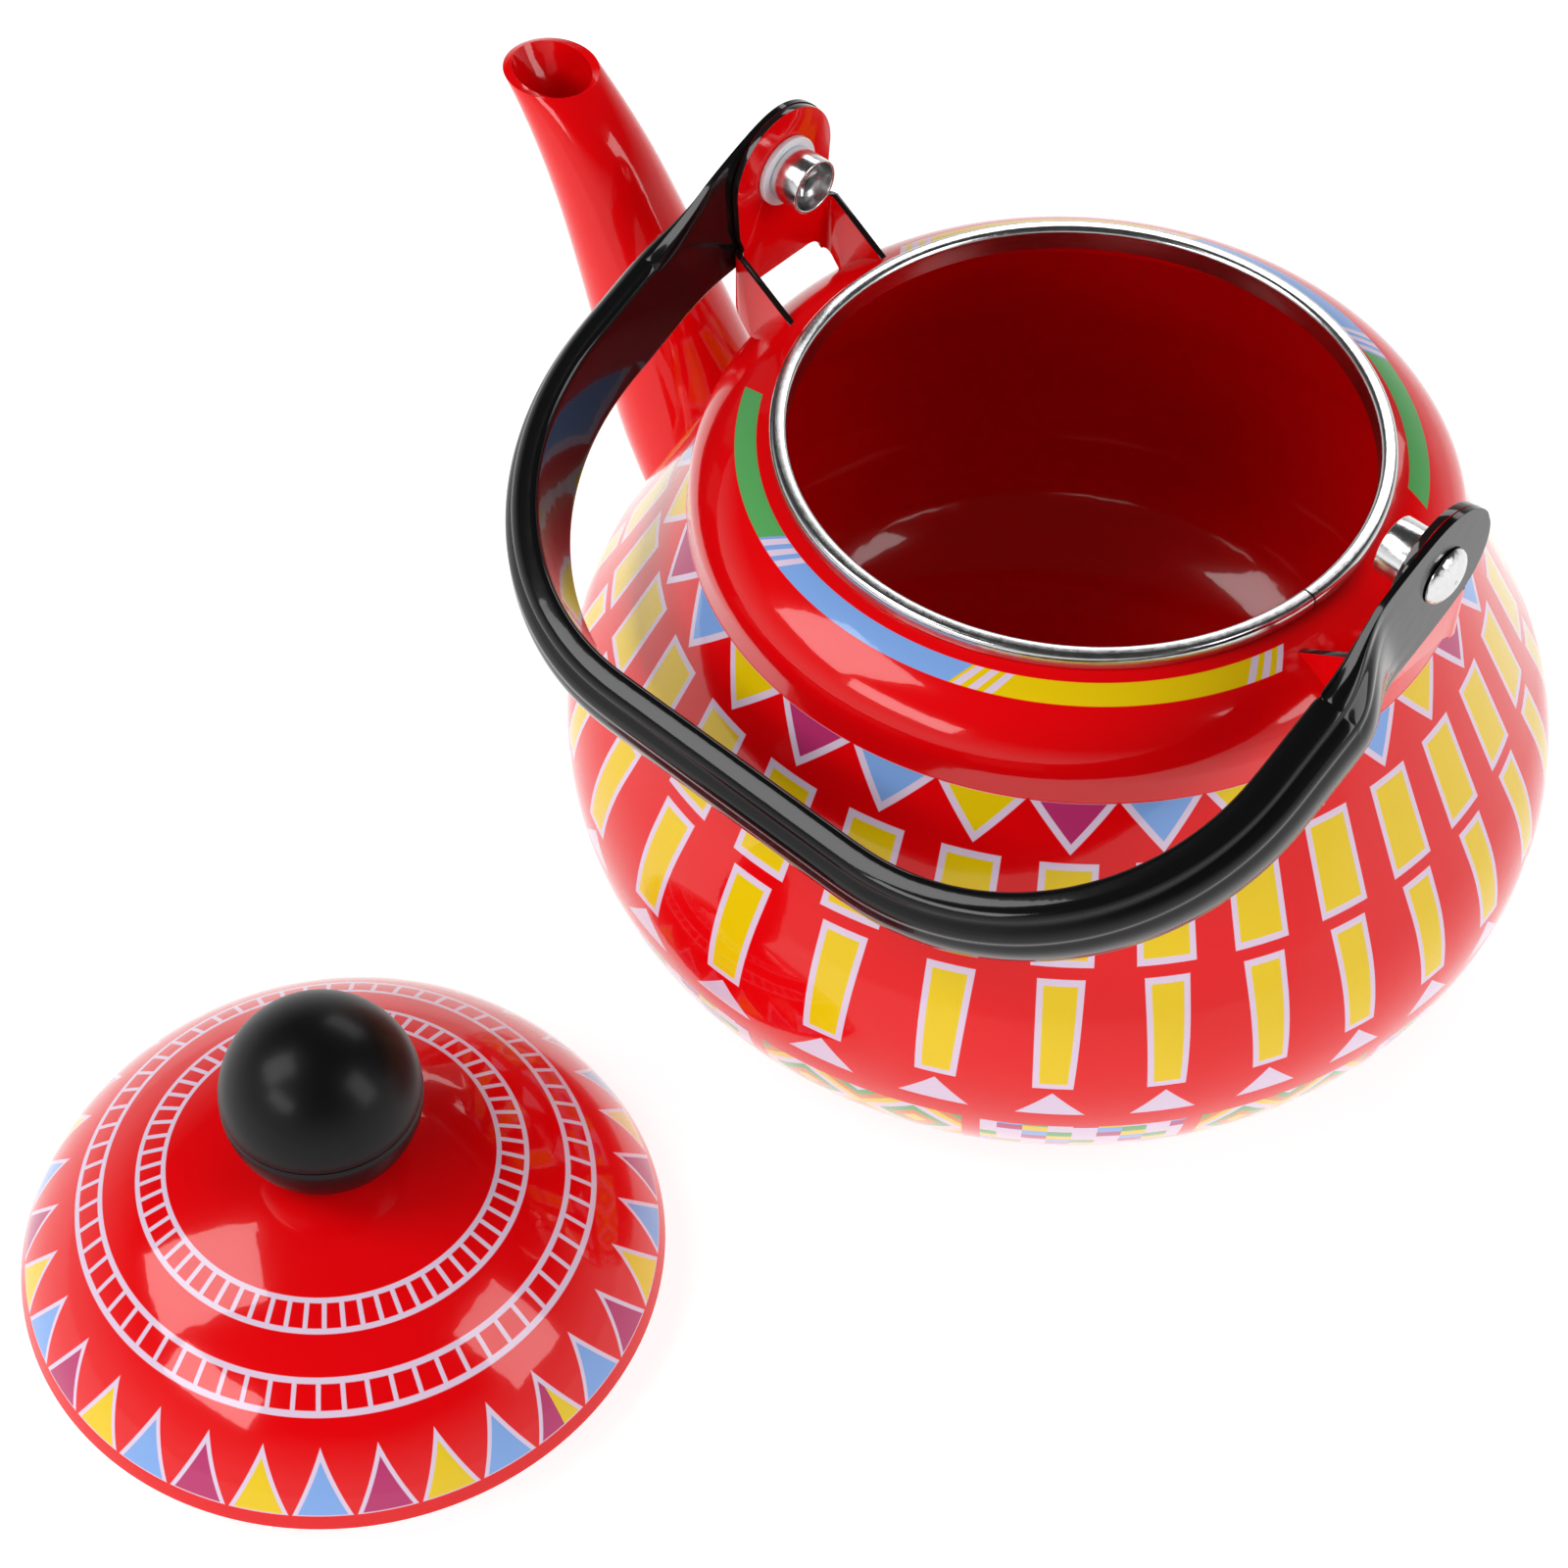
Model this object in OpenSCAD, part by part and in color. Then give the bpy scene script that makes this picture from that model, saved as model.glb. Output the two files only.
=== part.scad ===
// Stovetop kettle of enamelled steel: squat belly, stepped shoulder, steel mouth ring, curved spout with a
// level mouth, a swinging bail handle on two riveted brackets, and a loose domed lid with a ball knob.
// Millimetres. Origin at the centre of the base, +Z up, +X towards the spout. The lid lies beside the kettle.

/* [Belly] */
// Radius of the flat base, where the belly curve starts
base_r = 60; // [56:1:64]
// Widest radius of the belly
belly_r = 110.25; // [108:0.25:112]
// Height of the widest part
belly_z = 48.7; // [46:0.1:50]
// Height of the curve above the widest part
belly_rise = 50.2; // [48:0.1:52]
// Angle up the curve at which the straight cone starts
cone_from = 28; // [26:1:30]
// Thickness of the enamelled sheet
wall = 1.4; // [1:0.1:1.8]
// Radius of the water passage into the spout
passage_r = 12.5; // [8:0.5:13]

/* [Shoulder and mouth] */
// Radius of the crease between belly and shoulder
crease_r = 82.5; // [82:0.1:83]
// Height of the crease
crease_z = 112.5; // [111:0.1:114]
// Radius of the shoulder wall where its dome starts
dome_r = 82.15; // [81.8:0.05:82.4]
// Height at which the shoulder dome starts
dome_z = 116.8; // [116:0.1:118]
// Height of the shoulder dome
dome_rise = 16.8; // [16.5:0.1:17]
// Radius of the neck, outside
neck_r = 64.2; // [64:0.1:64.4]
// Radius of the mouth inside its ring
mouth_r = 61.5; // [61:0.1:61.8]
// Height of the mouth
mouth_z = 136; // [135.6:0.1:136.4]
// Angle of the ring's butt seam
seam_at = 175; // [30:1:330]

/* [Spout] */
// Height of the level mouth of the spout
tip_z = 142.7; // [142:0.1:144]
// Distance of the spout's mouth from the kettle's axis
tip_x = 157.3; // [156:0.1:159]
// Half the length of the spout's mouth
tip_a = 11.45; // [11:0.05:12]
// Half the width of the spout's mouth
tip_b = 10.5; // [10:0.1:11]
// Radius of the tube at its root
root_tube_r = 22.3; // [21:0.1:23]
// Thickness of the spout's sheet
spout_wall = 1.4; // [1:0.1:1.8]

/* [Brackets and pivots] */
// Height of the bail's pivot line
pivot_z = 155.1; // [154:0.1:156]
// Distance of each bracket plate's outer face from the axis
plate_x = 86.8; // [86.4:0.1:86.8]
// Half the width of a bracket
bracket_half = 15.5; // [15:0.1:16]
// Radius of a bracket's round top
bracket_top_r = 14.5; // [14:0.1:15]
// Thickness of a bracket's sheet
bracket_t = 1.6; // [1.2:0.1:1.8]
// Radius of a rivet's shank
rivet_r = 2.5; // [2:0.1:3]
// Radius of a rivet's domed head
rivet_head_r = 6.2; // [5.5:0.1:7]
// Radius of a nylon washer
washer_r = 8; // [7:0.1:9]
// Radius of a steel cup, outside
cup_r = 6.3; // [6:0.1:6.6]
// Depth of a steel cup
cup_len = 7.3; // [6:0.1:8]

/* [Bail] */
// Angle by which the bail is folded down from upright
fold = 115; // [100:1:115]
// Half the clear span between the bail's arms
arm_x = 87.1; // [87.1:0.1:87.4]
// Height of the grip's inner edge above the pivot
grip_h = 109.5; // [108:0.5:113]
// Depth of the bail's tube
tube_d = 10.2; // [9.5:0.1:10.5]
// Half the width of the bail's tube
tube_half = 11.3; // [10.5:0.1:12]
// Radius of the corners, on the inner edge
corner_r = 54.5; // [50:0.5:58]
// Radius of the flat round ends
end_r = 14.8; // [14:0.1:15]
// Distance from the pivot at which a flattened end has opened into the tube
end_blend = 36; // [32:1:40]

/* [Lid] */
// Where the lid lies: along the spout's line
lid_x = 31.6; // [20:0.1:40]
// Where the lid lies: away from the kettle
lid_y = 191.9; // [188:0.1:210]
// Radius of the lid's edge
lid_r = 68.2; // [67.8:0.1:68.6]
// Half axis of the lid's dome, across
lid_a = 71; // [70.5:0.1:72]
// Half axis of the lid's dome, up
lid_b = 53; // [52:0.1:54]
// Height of the dome's centre
lid_c = -6.06; // [-6.5:0.02:-5.5]
// Thickness of the lid's sheet
lid_wall = 1.3; // [1:0.1:1.6]
// Radius of the skirt that fits in the mouth
skirt_r = 60.6; // [60:0.1:60.8]
// Radius of the flat seat under the knob
seat_r = 13.5; // [13.5:0.1:15]

/* [Knob] */
// Radius of the knob's ball
knob_r = 20.6; // [19:0.1:22]
// Height of the ball's centre above the seat
knob_up = 17.5; // [17:0.1:18.5]
// Radius of the knob's foot
foot_r = 12.5; // [11.5:0.1:13]
// Radius of the knob's screw
screw_r = 2; // [1.5:0.1:2.5]

/* [Hidden] */
$fn = 96;
red = [0.8, 0.02, 0.03];
black = [0.03, 0.03, 0.03];
steel = [0.75, 0.75, 0.77];
nylon = [0.9, 0.9, 0.9];
over = 1;            // overrun of a cut past the face that it leaves by
fit = 0.03;          // room round a shank in a hole of its own body
run_fit = 0.06;      // running room of the rivet in the bail's end
gap = 0.3;           // room between sheets that move past each other
wing_foot = 127;     // height of the lower edge of a bracket's wings at its plate
belly_a = belly_r - base_r;
cone_lean = (cos(cone_from) * belly_a + base_r - crease_r) / (crease_z - belly_z - belly_rise * sin(cone_from));
dome_c = 55;         // radius at which the shoulder dome is centred
dome_a = dome_r - dome_c;
neck_top = mouth_z - 1.1;
lid_edge = asin(sqrt(1 - pow(lid_r / lid_a, 2)));
seat_z = lid_c + lid_b * sqrt(1 - pow(seat_r / lid_a, 2));
ball_z = seat_z + knob_up;

// Points of an elliptical arc from angle a0 to a1 in n steps
function arc(cx, cz, rx, rz, a0, a1, n) =
    [for (i = [0:n]) let (a = a0 + (a1 - a0) * i / n) [cx + rx * cos(a), cz + rz * sin(a)]];

// Belly curve at depth w below the outside, from the base to the crease
function belly_line(w) = concat(
    arc(base_r, belly_z, belly_a - w, belly_z - w, -90, 0, 12),
    arc(base_r, belly_z, belly_a - w, belly_rise - w, 4, cone_from, 6),
    [[crease_r - w * sqrt(1 + cone_lean * cone_lean), crease_z]]
);

// Angle on the shoulder dome at radius r, for a dome lying w below the outside
function dome_angle(r, w) = acos((r - dome_c) / (dome_a - w));

// Shoulder curve at depth w below the outside, from the crease to the neck
function shoulder_line(w, r) = concat(
    [[crease_r - w, crease_z]],
    arc(dome_c, dome_z, dome_a - w, dome_rise - w, 0, dome_angle(r, w), 12)
);

function flip(p) = [for (i = [len(p) - 1:-1:0]) p[i]];

module belly_solid() {
    rotate_extrude() polygon(concat([[0, 0]], belly_line(0), [[0, crease_z]]));
}

module shoulder_solid() {
    rotate_extrude() polygon(concat([[0, crease_z]], shoulder_line(0, neck_r), [[0, neck_top]]));
}

// Pressed lower vessel with its base, pierced where the spout is welded on
module belly_shell() {
    color(red) difference() {
        rotate_extrude() polygon(concat([[0, 0]], belly_line(0), flip(belly_line(wall)), [[0, wall]]));
        translate([belly_r - 20, 0, 62]) rotate([0, 90, 0]) cylinder(h = 40, r = passage_r);
    }
}

// Pressed shoulder, welded on the belly at the crease, with the neck that carries the mouth ring
module shoulder_shell() {
    inner_r = neck_r - wall;
    color(red) rotate_extrude() polygon(concat(
        shoulder_line(0, neck_r), [[neck_r, neck_top], [inner_r, neck_top]],
        flip(shoulder_line(wall, inner_r))));
}

// Folded steel strip over the raw edge of the neck, with a butt seam
module mouth_ring() {
    outer_r = neck_r + 1;
    round_r = 1;
    hem_z = mouth_z - 3.3;
    inner_z = mouth_z - 5.5;
    color(steel) difference() {
        rotate_extrude() polygon(concat(
            [[neck_r + fit, hem_z], [outer_r, hem_z]],
            arc(outer_r - round_r, mouth_z - round_r, round_r, round_r, 0, 90, 4),
            arc(mouth_r + round_r, mouth_z - round_r, round_r, round_r, 90, 180, 4),
            [[mouth_r, inner_z], [neck_r - wall - fit, inner_z],
             [neck_r - wall - fit, neck_top + fit], [neck_r + fit, neck_top + fit]]));
        rotate([0, 0, seam_at]) translate([mouth_r - over, -0.12, inner_z - over]) cube([6, 0.24, 8]);
    }
}

// The tube's middle line is a curve with three control points; its top turns into the level mouth
function bez(a, b, c, t) = a * (1 - t) * (1 - t) + b * 2 * t * (1 - t) + c * t * t;
function unit(v) = v / norm(v);
axis_p = [[98, 36], [145.6, 140.7], [157.3, 142.7]];
axis_r = [root_tube_r, 10.1, 10.5];
// Ring of the tube: [kettle-side point, far-side point, half width]
function tube_ring(t) =
    let (
        c = bez(axis_p[0], axis_p[1], axis_p[2], t),
        d = unit((axis_p[1] - axis_p[0]) * (1 - t) + (axis_p[2] - axis_p[1]) * t),
        r = bez(axis_r[0], axis_r[1], axis_r[2], t)
    ) [c + [-d[1], d[0]] * r, c + [d[1], -d[0]] * r, r];
// Towards the root the tube's far side turns in and runs onto the belly
root_to = 0.2;
function root_ring(t) =
    let (g = tube_ring(t), e = tube_ring(root_to))
    [g[0], bez([103, 36], [124.5, 51], e[1], t / root_to), g[2]];
mid_ring = tube_ring(0.5);
function tip_ring(s) = [
    bez(mid_ring[0], [132.3, 134.5], [tip_x - tip_a, tip_z], s),
    bez(mid_ring[1], [157, 126.5], [tip_x + tip_a, tip_z], s),
    bez(mid_ring[2], 11.2, tip_b, s)
];
spout_rings = concat(
    [for (t = [0:0.04:root_to - 0.01]) root_ring(t)],
    [for (t = [root_to:0.06:0.46]) tube_ring(t)],
    [for (s = [0:0.125:1]) tip_ring(s)]
);
spout_sides = 28;
function ring_points(g, w) =
    let (c = (g[0] + g[1]) / 2, u = unit(g[1] - g[0]), a = norm(g[1] - g[0]) / 2 - w, b = g[2] - w)
    [for (j = [0:spout_sides - 1])
        let (f = 360 * j / spout_sides)
        [c[0] + u[0] * a * cos(f), b * sin(f), c[1] + u[1] * a * cos(f)]];

// Tapered tube bent from sheet, cut level at its mouth and welded on the belly
module spout() {
    n = len(spout_rings);
    loop = concat(
        [for (i = [0:n - 1]) ring_points(spout_rings[i], 0)],
        [for (i = [n - 1:-1:0]) ring_points(spout_rings[i], spout_wall)]);
    m = len(loop);
    k = spout_sides;
    color(red) difference() {
        polyhedron(
            points = [for (r = loop, p = r) p],
            faces = [for (i = [0:m - 1], j = [0:k - 1], h = [0, 1])
                let (a = i * k + j, b = ((i + 1) % m) * k + j,
                     c = ((i + 1) % m) * k + (j + 1) % k, d = i * k + (j + 1) % k)
                h == 0 ? [a, b, c] : [a, c, d]]);
        belly_solid();
    }
}

// Bent bracket: a round-topped plate with two wings folded back and welded on the shoulder beside the ring
module bracket() {
    bend = 3.2;
    in_bend = bend - bracket_t;
    c_x = plate_x - bend;
    c_y = bracket_half - bend;
    toe_x = mouth_r + 4.5;
    foot_z = 139.8;
    difference() {
        union() {
            intersection() {
                translate([0, 0, crease_z]) linear_extrude(height = 29) polygon(concat(
                    [[toe_x, -bracket_half]],
                    arc(c_x, -c_y, bend, bend, -90, 0, 5),
                    arc(c_x, c_y, bend, bend, 0, 90, 5),
                    [[toe_x, bracket_half], [toe_x, bracket_half - bracket_t]],
                    arc(c_x, c_y, in_bend, in_bend, 90, 0, 5),
                    arc(c_x, -c_y, in_bend, in_bend, 0, -90, 5),
                    [[toe_x, bracket_t - bracket_half]]));
                translate([0, 20, 0]) rotate([90, 0, 0]) linear_extrude(height = 40) polygon([
                    [plate_x + over, foot_z], [c_x, foot_z], [toe_x, 128.8], [toe_x, 116], [77.5, 116],
                    [plate_x, wing_foot], [plate_x + over, wing_foot]]);
            }
            translate([plate_x - bracket_t, 0, 0]) rotate([90, 0, 90]) linear_extrude(height = bracket_t)
                plate_outline(c_y, foot_z);
        }
        translate([plate_x - 10, 0, 0]) rotate([90, 0, 90]) linear_extrude(height = 12) arch_outline(c_y);
        translate([plate_x - 5, 0, pivot_z]) rotate([0, 90, 0]) cylinder(h = 8, r = rivet_r + fit);
        shoulder_solid();
        belly_solid();
    }
}

module plate_outline(c_y, foot_z) {
    translate([0, pivot_z]) circle(r = bracket_top_r);
    polygon([
        [-bracket_top_r, pivot_z], [bracket_top_r, pivot_z], [c_y + 1.4, foot_z + 4], [c_y, foot_z],
        [c_y, wing_foot], [-c_y, wing_foot], [-c_y, foot_z], [-c_y - 1.4, foot_z + 4]]);
}

// Arched window between the wings, open to the shoulder
module arch_outline(c_y) {
    arch_top = 129;
    corner = 4.5;
    translate([-c_y, 100]) square([2 * c_y, arch_top - corner - 100]);
    translate([corner - c_y, 100]) square([2 * (c_y - corner), arch_top - 100]);
    for (s = [-1, 1]) translate([s * (c_y - corner), arch_top - corner]) circle(r = corner);
}

module front_bracket() {
    color(red) bracket();
}

module rear_bracket() {
    color(red) mirror([1, 0, 0]) bracket();
}

washer_x = plate_x - bracket_t - 1.5;
cup_x = washer_x - 0.1;

// Nylon washer between the bracket and the cup
module pivot_washer() {
    translate([washer_x, 0, pivot_z]) rotate([0, 90, 0]) difference() {
        cylinder(h = 1.45, r = washer_r);
        translate([0, 0, -over]) cylinder(h = 4, r = rivet_r + fit);
    }
}

module front_washer() {
    color(nylon) pivot_washer();
}

module rear_washer() {
    color(nylon) mirror([1, 0, 0]) pivot_washer();
}

// Steel cup, open towards the kettle's axis, that takes the rivet's tail
module pivot_cup() {
    cup_wall = 0.7;
    floor_t = 1;
    translate([cup_x - cup_len, 0, pivot_z]) rotate([0, 90, 0]) difference() {
        cylinder(h = cup_len, r = cup_r);
        translate([0, 0, -over]) cylinder(h = cup_len - floor_t + over, r = cup_r - cup_wall);
        cylinder(h = cup_len + over, r = rivet_r + fit);
    }
}

module front_cup() {
    color(steel) pivot_cup();
}

module rear_cup() {
    color(steel) mirror([1, 0, 0]) pivot_cup();
}

// Rivet: a domed head outside the bail's end, a shank, and a tail spread inside the cup
module pivot_rivet() {
    head_x = arm_x + 1.3 + gap;
    head_h = 2.6;
    tail_x = cup_x - 3.2;
    tail_r = 3.4;
    tail_h = 2.1;
    translate([tail_x, 0, pivot_z]) rotate([0, 90, 0]) rotate_extrude() polygon(concat(
        [[0, 0], [tail_r - 1.2, 0], [tail_r, 0.8], [tail_r, tail_h], [rivet_r, tail_h],
         [rivet_r, head_x - tail_x]],
        arc(0, head_x - tail_x, rivet_head_r, head_h, 0, 90, 8)));
    for (a = [0:90:270]) {
        translate([tail_x - 0.6, 0, pivot_z]) rotate([a, 0, 0]) translate([0, 0.8, -0.6]) cube([1.6, 3.6, 1.2]);
    }
}

module front_rivet() {
    color(steel) pivot_rivet();
}

module rear_rivet() {
    color(steel) mirror([1, 0, 0]) pivot_rivet();
}

// Section of the bail as pairs [across, out], set in by w; f is 0 at the flattened end and 1 on the full tube
sheet_t = 1.3;
crown_d = 5;
half_points = 12;
last_point = half_points + 2;
function tube_point(i, w) =
    i == 0 ? [w - tube_half, w]
    : i == last_point ? [tube_half - w, w]
    : let (a = 180 - 180 * (i - 1) / half_points)
      [(tube_half - w) * cos(a), crown_d + (tube_d - crown_d - w) * sin(a)];
function flat_point(i, half, w) =
    i == 0 ? [-half, w]
    : i == last_point ? [half, w]
    : [half * (2 * (i - 1) / half_points - 1), sheet_t - w];
function bail_section(f, half, w) =
    [for (i = [0:last_point]) flat_point(i, half - w, w) * (1 - f) + tube_point(i, w) * f];

// Arm between the flattened end and the full tube, from the share q0 of its length
module bail_loft(q0, w) {
    flat_to = 15;
    steps = 9;
    shares = [for (i = [0:steps]) q0 + (1 - q0) * i / steps];
    n = last_point + 1;
    ends = concat(q0 == 0 ? [[0, 0]] : [], [for (q = shares) [q, flat_to + (end_blend - flat_to) * q]]);
    top = len(ends) - 1;
    polyhedron(
        points = [for (e = ends, p = bail_section(
            e[0] * e[0] * (3 - 2 * e[0]), end_r + (tube_half - end_r) * e[0], w)) [arm_x + p[1], p[0], e[1]]],
        faces = concat(
            [for (i = [0:top - 1], j = [0:n - 1], h = [0, 1])
                let (a = i * n + j, b = i * n + (j + 1) % n, c = a + n, d = b + n)
                h == 0 ? [a, c, d] : [a, d, b]],
            [for (j = [1:n - 2]) [0, j, j + 1]],
            [for (j = [1:n - 2]) [top * n, top * n + j + 1, top * n + j]]));
}

// Both arms, the corners and the grip, set in by w; lap joins the parts of the hollow
module bail_form(q0, w, lap) {
    centre_x = arm_x - corner_r;
    centre_h = grip_h - corner_r;
    outline = bail_section(1, tube_half, w);
    for (s = [0, 1]) mirror([s, 0, 0]) {
        bail_loft(q0, w);
        translate([0, 0, end_blend - lap]) linear_extrude(height = centre_h - end_blend + 2 * lap)
            polygon([for (p = outline) [arm_x + p[1], p[0]]]);
        translate([centre_x, 0, centre_h]) rotate([90, 0, 0])
            rotate_extrude(angle = 90) polygon([for (p = outline) [corner_r + p[1], p[0]]]);
    }
    translate([-centre_x - lap, 0, 0]) rotate([0, 90, 0]) linear_extrude(height = 2 * (centre_x + lap))
        polygon([for (p = outline) [-grip_h - p[1], p[0]]]);
}

// Bail formed from one tube, flat on its inner side, with its two ends flattened; shown folded down
module bail_handle() {
    vent_r = 1.5;
    color(black) translate([0, 0, pivot_z]) rotate([-fold, 0, 0]) difference() {
        union() {
            bail_form(0, 0, 0);
            for (s = [0, 1]) mirror([s, 0, 0]) translate([arm_x, 0, 0]) rotate([0, 90, 0])
                cylinder(h = sheet_t, r = end_r);
        }
        bail_form(0.45, sheet_t, 0.05);
        translate([0, 0, grip_h - over]) cylinder(h = over + 2 * sheet_t, r = vent_r);
        for (s = [-1, 1]) {
            translate([s * (arm_x + 1), 0, 0]) rotate([0, 90, 0])
                cylinder(h = 10, r = rivet_r + run_fit, center = true);
        }
    }
}

function lid_line(w) = arc(0, lid_c, lid_a - w, lid_b - w, lid_edge, acos(seat_r / (lid_a - w)), 16);

// Domed lid pressed from one sheet, with a flat seat for the knob
module lid_shell() {
    color(red) translate([lid_x, lid_y, 0]) difference() {
        rotate_extrude() polygon(concat(lid_line(0), [[0, seat_z], [0, seat_z - lid_wall]], flip(lid_line(lid_wall))));
        cylinder(h = 60, r = screw_r + fit);
    }
}

// Ring welded under the lid's edge, whose skirt drops into the mouth
module lid_skirt() {
    top = lid_c + (lid_b - lid_wall) * sin(lid_edge);
    t = 1.1;
    color(red) translate([lid_x, lid_y, 0]) rotate_extrude() polygon(concat(
        [[lid_r - 0.8, top], [lid_r - 0.8, top - t], [skirt_r + 1, top - t]],
        [[skirt_r, top - t - 1], [skirt_r, 0], [skirt_r - t, 0], [skirt_r - t, top]]));
}

module knob_bore() {
    translate([lid_x, lid_y, seat_z - over]) cylinder(h = 16, r = screw_r + fit);
}

// Upper half of the moulded ball knob
module knob_dome() {
    part = 0.5;
    color(black) difference() {
        translate([lid_x, lid_y, ball_z]) rotate_extrude() polygon(concat(
            [[0, part], [knob_r - 0.7, part], [knob_r - 0.1, part + 0.6]],
            arc(0, 0, knob_r, knob_r, 4, 90, 18)));
        knob_bore();
    }
}

// Lower half of the knob, tapering to its foot on the lid
module knob_cup() {
    foot_h = knob_up;
    color(black) difference() {
        translate([lid_x, lid_y, ball_z]) rotate_extrude() polygon(concat(
            [[0, fit - foot_h], [foot_r, fit - foot_h], [foot_r + 0.6, 1.2 - foot_h]],
            arc(0, 0, knob_r, knob_r, -46, -2, 10),
            [[knob_r - 0.5, 0.3], [0, 0.3]]));
        knob_bore();
    }
}

// Pan-head screw from under the lid into the knob
module knob_screw() {
    head_top = seat_z - lid_wall - 1.1;
    color(steel) translate([lid_x, lid_y, 0]) difference() {
        rotate_extrude() polygon([
            [0, head_top - 2.6], [3, head_top - 2.6], [4.2, head_top - 1.6], [4.2, head_top],
            [screw_r, head_top], [screw_r, seat_z + 14], [0, seat_z + 14]]);
        translate([-5, -0.5, head_top - 4]) cube([10, 1, 2.4]);
    }
}

module knob_washer() {
    color(steel) translate([lid_x, lid_y, seat_z - lid_wall - 1.05]) difference() {
        cylinder(h = 1, r = 6);
        translate([0, 0, -over]) cylinder(h = 4, r = screw_r + fit);
    }
}

belly_shell();
shoulder_shell();
mouth_ring();
spout();
front_bracket();
rear_bracket();
front_washer();
rear_washer();
front_cup();
rear_cup();
front_rivet();
rear_rivet();
bail_handle();
lid_shell();
lid_skirt();
knob_dome();
knob_cup();
knob_screw();
knob_washer();
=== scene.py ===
import math

import bpy
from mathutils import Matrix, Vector


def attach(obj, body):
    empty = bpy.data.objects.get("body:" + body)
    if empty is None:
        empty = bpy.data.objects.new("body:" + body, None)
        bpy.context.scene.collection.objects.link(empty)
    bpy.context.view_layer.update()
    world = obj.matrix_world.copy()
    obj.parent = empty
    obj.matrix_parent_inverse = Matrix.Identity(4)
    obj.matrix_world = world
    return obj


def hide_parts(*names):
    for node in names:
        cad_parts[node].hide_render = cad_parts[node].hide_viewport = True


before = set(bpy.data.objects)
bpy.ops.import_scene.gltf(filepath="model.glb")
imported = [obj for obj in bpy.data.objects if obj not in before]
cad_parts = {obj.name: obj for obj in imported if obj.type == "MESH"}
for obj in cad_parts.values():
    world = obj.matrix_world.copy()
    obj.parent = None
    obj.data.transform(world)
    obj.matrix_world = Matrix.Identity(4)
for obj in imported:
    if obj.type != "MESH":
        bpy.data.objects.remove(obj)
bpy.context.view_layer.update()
MM = 0.001

# ---------------------------------------------------------------- studio
# A white table and a white room, lit by soft boxes, with the camera above the lid's side looking down
# at about fifty degrees through a long lens.
camera = bpy.data.objects.new("camera", bpy.data.cameras.new("camera"))
bpy.context.scene.collection.objects.link(camera)
camera.location = (-0.3094, 0.4266, 0.6379)
camera.rotation_euler = [math.radians(a) for a in (40.247, -0.517, -136.788)]
camera.data.sensor_width = 36
camera.data.lens = 79.88
bpy.context.scene.camera = camera
bpy.context.scene.view_settings.view_transform = "Standard"

bpy.ops.mesh.primitive_plane_add(size=6, location=(0, 0, 0))
table = bpy.context.active_object
table.name = "table"
paper = bpy.data.materials.new("white_paper")
paper.use_nodes = True
shade = paper.node_tree.nodes["Principled BSDF"]
shade.inputs["Base Color"].default_value = (0.42, 0.42, 0.42, 1)
shade.inputs["Roughness"].default_value = 0.9
shade.inputs["Specular IOR Level"].default_value = 0.1
shade.inputs["Emission Color"].default_value = (1, 1, 1, 1)
shade.inputs["Emission Strength"].default_value = 0.82
table.data.materials.append(paper)

world = bpy.data.worlds.new("white_room")
bpy.context.scene.world = world
world.use_nodes = True
room = world.node_tree
sky = room.nodes["Background"]
facing = room.nodes.new("ShaderNodeTexCoord")
split = room.nodes.new("ShaderNodeSeparateXYZ")
height = room.nodes.new("ShaderNodeMapRange")
room.links.new(facing.outputs["Generated"], split.inputs[0])
room.links.new(split.outputs["Z"], height.inputs["Value"])
height.inputs["From Min"].default_value = 0.1
height.inputs["From Max"].default_value = 0.5
height.inputs["To Min"].default_value = 0.9
height.inputs["To Max"].default_value = 0.04
room.links.new(height.outputs["Result"], sky.inputs["Strength"])
sky.inputs["Color"].default_value = (1, 1, 1, 1)


def softbox(name, place, aim, size, power):
    lamp = bpy.data.objects.new(name, bpy.data.lights.new(name, "AREA"))
    bpy.context.scene.collection.objects.link(lamp)
    lamp.data.shape = "RECTANGLE"
    lamp.data.size, lamp.data.size_y = size
    lamp.data.energy = power
    lamp.location = place
    lamp.rotation_euler = (Vector(aim) - Vector(place)).to_track_quat("-Z", "Y").to_euler()


softbox("key_box", (0.75, 1.0, 1.35), (0, 0.05, 0.05), (0.75, 1.05), 15)
softbox("front_box", (0.1, 1.45, 0.85), (0, 0.05, 0.1), (0.8, 0.36), 6)
softbox("side_box", (-1.25, -0.35, 0.95), (0, 0.05, 0.05), (0.6, 1.0), 9)
softbox("back_box", (0.5, -1.2, 1.1), (0, 0, 0.1), (1.0, 0.5), 6)


# ---------------------------------------------------------------- belly
# Pressed steel vessel with a flat base and one closed curve up to the crease under the shoulder,
# red vitreous enamel inside and out, with the printed band of flags, staves and mosaic round it.
def line_of_points(name, points):
    """A chain of edges through (x, y, z) points in millimetres, drawn point by point."""
    bpy.ops.object.select_all(action="DESELECT")
    first = Vector(points[0]) * MM
    bpy.ops.mesh.primitive_plane_add(size=0.001, location=first)
    piece = bpy.context.active_object
    piece.name = piece.data.name = name
    bpy.ops.object.transform_apply(location=True, rotation=True, scale=True)
    bpy.ops.object.mode_set(mode="EDIT")
    bpy.ops.mesh.select_all(action="SELECT")
    bpy.ops.mesh.merge(type="CENTER")
    bpy.ops.mesh.select_mode(type="VERT")
    for here, there in zip(points, points[1:]):
        step = (Vector(there) - Vector(here)) * MM
        bpy.ops.mesh.extrude_region_move(TRANSFORM_OT_translate={"value": step})
    bpy.ops.object.mode_set(mode="OBJECT")
    return piece


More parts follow.
